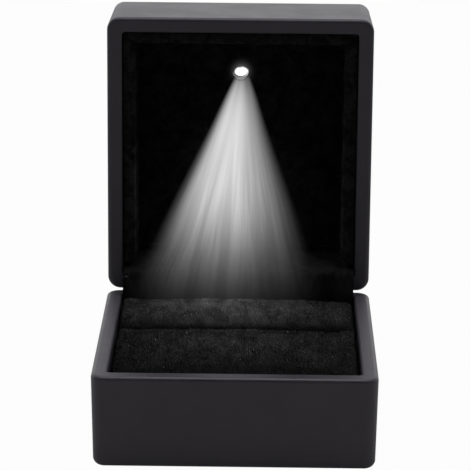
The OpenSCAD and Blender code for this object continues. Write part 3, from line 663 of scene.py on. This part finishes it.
def makeLinerFrame(look=linerLook):
    legs = []
    rise, span = frameHigh.z - frameLow.z, frameHigh.x
    upSteps, acrossSteps = int(rise / look["step"]), int(2 * span / look["step"])
    for a, b in linerSection():
        x, z = span - look["side"] * a, frameHigh.z - look["top"] * a
        y = frameLow.y + b
        if b == 0.0:
            y -= look["crown"] * math.sin(math.pi * min(a, 1))
        foot = frameLow.z + look["endRise"] * a ** 3    # the ends are rounded on the inside
        up = [(-x, y, foot + (z - foot) * i / upSteps) for i in range(upSteps)]
        over = [(-x + 2 * x * i / acrossSteps, y, z) for i in range(acrossSteps)]
        down = [(x, y, z + (foot - z) * i / upSteps) for i in range(upSteps + 1)]
        legs.append(up + over + down)
    bm = bmesh.new()
    rows = [[bm.verts.new(Vector(p) * mm) for p in leg] for leg in legs]
    count, last = len(rows), len(legs[0]) - 1
    for k in range(count):
        here, there = rows[k], rows[(k + 1) % count]
        for i in range(last):
            bm.faces.new((here[i], here[i + 1], there[i + 1], there[i]))
    for i in (0, last):
        bm.faces.new([row[i] for row in rows])
    bmesh.ops.recalc_face_normals(bm, faces=bm.faces)
    bmesh.ops.triangulate(bm, faces=[f for f in bm.faces if len(f.verts) > 4])
    piece = newPiece("lid_liner_velvet", meshFrom(bm, "liner frame"), finishes["lining_velvet"])

    # wrinkles, and a tuck in front along each mitre, but nothing where it lies against the shell
    def soften(p):
        if abs(p[0]) > frameHigh.x - look["atWall"] or p[2] > frameHigh.z - look["atWall"]:
            return 0
        fromMitre = abs((frameHigh.z - p[2]) / look["top"] - (frameHigh.x - abs(p[0])) / look["side"])
        pucker = 0
        if p[1] < frameLow.y + look["puckerDeep"]:
            pucker = look["pucker"] * math.exp(-(fromMitre / look["puckerWidth"]) ** 2)
        waves = ripple(p, look["small"], 5) + look["largeShare"] * ripple(p, look["large"], 6)
        return look["wrinkle"] * waves - pucker
    press(piece, soften)
    settle(piece, "lid", "lining_velvet", "lid_liner_frame")
    return piece


linerFrame = makeLinerFrame()


# The flap over the hinge: one velvet sheet from behind the rear pad to the lining. Its places are
# y and z, and its lengths run from its tail.
flapLook = {"halfWidth": 27.25, "thick": 0.45, "step": 0.36, "arcPoints": 12, "smoothed": 0.3,
            "tail": (27.75, 9.0), "root": 19.2, "bend": 8.0, "lean": 58, "leanLength": 1.8,
            "ridge": 1.5, "slope": 5.5, "end": (45.35, 26.65), "tongue": 28.6, "tongueHalf": 24.1,
            "turnUp": ((-1.2, -0.11), (-0.35, 0.05), (0, 0.5)),    # points round the flap's end
            "narrowing": (3.2, 2.2), "corner": 1.3, "cornerCut": 1.6,
            "free": (8, 14), "stuck": (5, 2), "fold": 0.22, "foldSize": 6, "foldStretch": 0.6,
            "creaseSize": 3.2, "creaseShare": 0.5, "edge": 0.92, "fray": 0.10, "fraySize": 2.1,
            "nick": (16.4, 0.45, 1.5)}    # centre, width and depth


# Centre line of the flap in y and z: up, a bend back, over the ridge, on to the panel and up it
def flapLine(look=flapLook):
    lean = math.radians(look["lean"])
    y0, z0 = look["tail"][0], look["root"]
    bendY = y0 + look["bend"]
    line = [look["tail"], (y0, (look["tail"][1] + z0) / 2)]
    for t in np.linspace(math.pi, math.pi / 2 + lean, look["arcPoints"]):
        line.append((bendY + look["bend"] * math.cos(t), z0 + look["bend"] * math.sin(t)))
    endY, endZ = line[-1]
    ridgeY = endY + look["leanLength"] * math.cos(lean) + look["ridge"] * math.sin(lean)
    ridgeZ = endZ + look["leanLength"] * math.sin(lean) - look["ridge"] * math.cos(lean)
    for t in np.linspace(math.pi / 2 + lean, math.radians(90 + look["slope"]), look["arcPoints"]):
        line.append((ridgeY + look["ridge"] * math.cos(t), ridgeZ + look["ridge"] * math.sin(t)))
    endY, endZ = look["end"]
    line += [(endY + back, endZ + up) for back, up in look["turnUp"]]
    line.append((endY, look["tongue"]))
    return np.array(line)


# The flap's surface: place(s, across) with s along it from the tail, in millimetres, and across
# from -1 to 1
class FlapShape:
    def __init__(self, look=flapLook):
        self.look, self.line = look, flapLine()
        steps = np.linalg.norm(np.diff(self.line, axis=0), axis=1)
        self.run = np.concatenate([[0], np.cumsum(steps)])
        self.long = self.run[-1]
        self.half = look["halfWidth"]

    def at(self, s):
        return np.array([np.interp(s, self.run, self.line[:, k]) for k in (0, 1)])

    # unit vector along the flap
    def along(self, s):
        reach = self.look["smoothed"]
        step = self.at(min(s + reach, self.long)) - self.at(max(s - reach, 0))
        return step / np.linalg.norm(step)

    # half the width there: it narrows between the frame's bars, with rounded corners
    def halfAt(self, s):
        look, left = self.look, self.long - s
        wide, narrow = look["narrowing"]
        half = self.half + (look["tongueHalf"] - self.half) * ease(-left, -wide, -narrow)
        return half - look["cornerCut"] * ease(-left, -look["corner"], 0) ** 2

    def place(self, s, across):
        look = self.look
        x = across * self.halfAt(s)
        y, z = self.at(s)
        way = self.along(s)
        loose, tight = look["stuck"]
        free = ease(s, *look["free"]) * (1 - ease(s, self.long - loose, self.long - tight))
        folds = ripple((x * look["foldStretch"], s, 3), look["foldSize"])
        creases = ripple((x, s, 0), look["creaseSize"], 2)
        fold = look["fold"] * free * (folds + look["creaseShare"] * creases)
        edge = ease(abs(across), look["edge"], 1)
        x += edge * look["fray"] * ripple((0, s, x), look["fraySize"], 4) * free
        centre, width, depth = look["nick"]
        if across < 0:
            x += edge * depth * math.exp(-((s - centre) / width) ** 2)
        return Vector((x, y - way[1] * fold, z + way[0] * fold))


def makeFlap(look=flapLook):
    shape = FlapShape()
    long, half = shape.long, shape.half
    rows = int(long / look["step"])
    columns = int(2 * half / look["step"])
    bm = bmesh.new()
    grid, laid = [], {}
    for i in range(rows + 1):
        s = long * i / rows
        row = []
        for j in range(columns + 1):
            place = shape.place(s, -1 + 2 * j / columns)
            vertex = bm.verts.new(place * mm)
            seenAt = place.z - (panelLow.y - place.y) * fanLook["slant"]
            laid[vertex] = [Vector(p) * mm / uvUnit for p in ((place.x, s), (place.x, seenAt))]
            row.append(vertex)
        grid.append(row)
    cloth, light = bm.loops.layers.uv.new("cloth"), bm.loops.layers.uv.new("light")
    for i in range(rows):
        for j in range(columns):
            face = bm.faces.new((grid[i][j], grid[i][j + 1], grid[i + 1][j + 1], grid[i + 1][j]))
            for loop in face.loops:
                loop[cloth].uv, loop[light].uv = laid[loop.vert]
    piece = newPiece("hinge_flap_velvet", meshFrom(bm, "flap"), flapVelvet)
    thick = piece.modifiers.new("thick", "SOLIDIFY")
    thick.thickness = look["thick"] * mm
    thick.offset = 0
    bake(piece)
    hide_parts("hinge_flap")
    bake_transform(piece)
    print(piece.name, "flat", round(2 * half, 1), "by", round(long, 1))


threadLook = {"count": 150, "from": 10.5, "toEnd": 3.4, "across": 0.985, "out": (0.1, 0.5),
              "back": (-0.8, 0.2), "up": (-0.6, 0.9), "length": (0.35, 0.8), "room": 0.2,
              "radius": 0.035, "seed": 31}


# Loose threads at the flap's two cut side edges
def makeThreads(look=threadLook):
    shape = FlapShape()
    draw = np.random.default_rng(look["seed"])
    bm = bmesh.new()
    for k in range(look["count"]):
        side = -1 if k % 2 else 1
        s = draw.uniform(look["from"], shape.long - look["toEnd"])
        root = shape.place(s, side * look["across"])
        lean = Vector((side * draw.uniform(*look["out"]), draw.uniform(*look["back"]),
                       draw.uniform(*look["up"]))).normalized()
        tip = root + lean * draw.uniform(*look["length"])
        mostX = shape.half + look["room"]
        tip.x = max(min(tip.x, mostX), -mostX)
        sideways = lean.orthogonal().normalized() * look["radius"]
        turns = [Matrix.Rotation(math.radians(a), 3, lean) for a in (0, 120, 240)]
        ring = [bm.verts.new((root + turn @ sideways) * mm) for turn in turns]
        end = bm.verts.new(tip * mm)
        bm.faces.new(ring[::-1])
        for a in range(3):
            bm.faces.new((ring[a], ring[(a + 1) % 3], end))
    bmesh.ops.recalc_face_normals(bm, faces=bm.faces)
    mesh = meshFrom(bm, "threads")
    piece = newPiece("hinge_flap_threads", mesh, finishes["lining_velvet"], smoothed=False)
    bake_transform(piece)


def makeSpring():
    spring = newPiece("hinge_spring_wire", joinedCopy("hinge_spring"), finishes["spring_steel"])
    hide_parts("hinge_spring")
    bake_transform(spring)


makeFlap()
makeThreads()
makeSpring()
growPile(linerFrame, liningPile, 21, finishes["lining_velvet"], "lining_velvet", "lid")
print("pieces made")


# A pale floor, which the camera sees white but for the shadow on it
floorLook = {"colour": 0.52, "second": 0.98, "cloudSize": 400, "size": 6.0, "drop": 0.1, "white": 0.97,
             "mirrored": 0.12}


def makeFloor(look=floorLook):
    f = Finish("pale floor")
    camera, mirrored = f.rays()
    cloud = f.grain(look["cloudSize"], 2)
    colour = f.mixColours(cloud, grey(look["colour"]), grey(look["colour"] * look["second"]))
    lit = f.add("ShaderNodeBsdfDiffuse", None, {"Color": colour})
    white = f.add("ShaderNodeEmission", None, {"Color": (1, 1, 1, 1), "Strength": 1.0})
    share = look["white"] * camera + look["mirrored"] * mirrored
    both = f.add("ShaderNodeMixShader", None, {0: share, 1: lit, 2: white})
    f.add("ShaderNodeOutputMaterial", None, {"Surface": both})
    h = look["size"] / 2
    mesh = bpy.data.meshes.new("floor")
    mesh.from_pydata([(-h, -h, 0), (h, -h, 0), (h, h, 0), (-h, h, 0)], [], [(0, 1, 2, 3)])
    floor = newPiece("floor", mesh, f.material, smoothed=False)
    floor.location.z = cadBounds[0][2] - look["drop"] * mm


# A white backdrop behind, and a dim room in front of it and overhead; what is shiny shows the
# backdrop at its full white. high and behind are heights and depths of the sky's directions.
roomLook = {"front": 0.03, "back": 0.8, "above": 0.05, "white": 1.0, "high": (0.4, 1.0),
            "behind": (-0.35, 0.55)}


def makeRoom(look=roomLook):
    world = bpy.data.worlds.new("pale room")
    bpy.context.scene.world = world
    world.use_nodes = True
    g = Graph(world.node_tree)
    x, y, z = g.axes(g.add("ShaderNodeTexCoord"))
    high = g.smooth(z, *look["high"])
    camera, mirrored = g.rays()
    back = look["back"] + (look["white"] - look["back"]) * mirrored
    level = look["front"] + (back - look["front"]) * g.smooth(y, *look["behind"])
    level = level * (1 - high) + look["above"] * high
    level = level * (1 - camera) + look["white"] * camera
    room = g.add("ShaderNodeBackground", None, {"Color": (1, 1, 1, 1), "Strength": level})
    g.add("ShaderNodeOutputWorld", None, {"Surface": room})


softBoxes = {"aim": (0, 0, 0.03), "rows": [
    {"name": "soft box above", "at": (0.0, 0.05, 0.9), "size": (0.9, 0.7), "power": 5.0},
    {"name": "soft box left", "at": (-0.9, -0.5, 0.5), "size": (0.6, 0.6), "power": 0.12},
    {"name": "soft box right", "at": (0.9, -0.4, 0.5), "size": (0.6, 0.6), "power": 0.12}]}


def newLamp(name, kind, place, aim):
    light = bpy.data.lights.new(name, kind)
    lamp = bpy.data.objects.new(name, light)
    bpy.context.scene.collection.objects.link(lamp)
    lamp.location = place
    lamp.rotation_euler = (Vector(aim) - Vector(place)).to_track_quat("-Z", "Y").to_euler()
    return lamp


def makeSoftBoxes(look=softBoxes):
    for row in look["rows"]:
        light = newLamp(row["name"], "AREA", row["at"], look["aim"]).data
        light.shape = "RECTANGLE"
        light.size, light.size_y = row["size"]
        light.energy = row["power"]


# A little of what the box's own lamp throws on the pads; it swings with the lid
boxLampLook = {"power": 0.05, "angle": 120, "before": 4, "aim": (-3, 8, 20), "radius": 1.0}


def makeBoxLamp(look=boxLampLook):
    place = Vector((0, panelLow.y - look["before"], fanLook["lampZ"])) * mm
    bulb = newLamp("box lamp", "SPOT", place, Vector(look["aim"]) * mm)
    bulb.data.energy = look["power"]
    bulb.data.spot_size = math.radians(look["angle"])
    bulb.data.spot_blend = 1.0
    bulb.data.shadow_soft_size = look["radius"] * mm
    bulb.visible_glossy = False
    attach(bulb, "lid")


# The photographed view: a long lens, a little above the rims and turned slightly to the left
cameraLook = {"at": (5.77, -567.5, 201.85), "down": 15.58, "left": 0.635, "roll": 0.475,
              "focal": 201.75, "sensor": 36, "clip": (0.01, 20)}


def makeCamera(look=cameraLook):
    lens = bpy.data.cameras.new("camera")
    lens.sensor_width = look["sensor"]
    lens.lens = look["focal"]
    lens.clip_start, lens.clip_end = look["clip"]
    camera = bpy.data.objects.new("camera", lens)
    bpy.context.scene.collection.objects.link(camera)
    camera.location = Vector(look["at"]) * mm
    turn = Matrix.Rotation(math.radians(look["left"]), 4, "Z") \
        @ Matrix.Rotation(math.radians(90 - look["down"]), 4, "X") \
        @ Matrix.Rotation(math.radians(look["roll"]), 4, "Z")
    camera.rotation_euler = turn.to_euler()
    bpy.context.scene.camera = camera


makeFloor()
makeRoom()
makeSoftBoxes()
makeBoxLamp()
makeCamera()
bpy.context.scene.view_settings.view_transform = "Standard"
print("stage set")
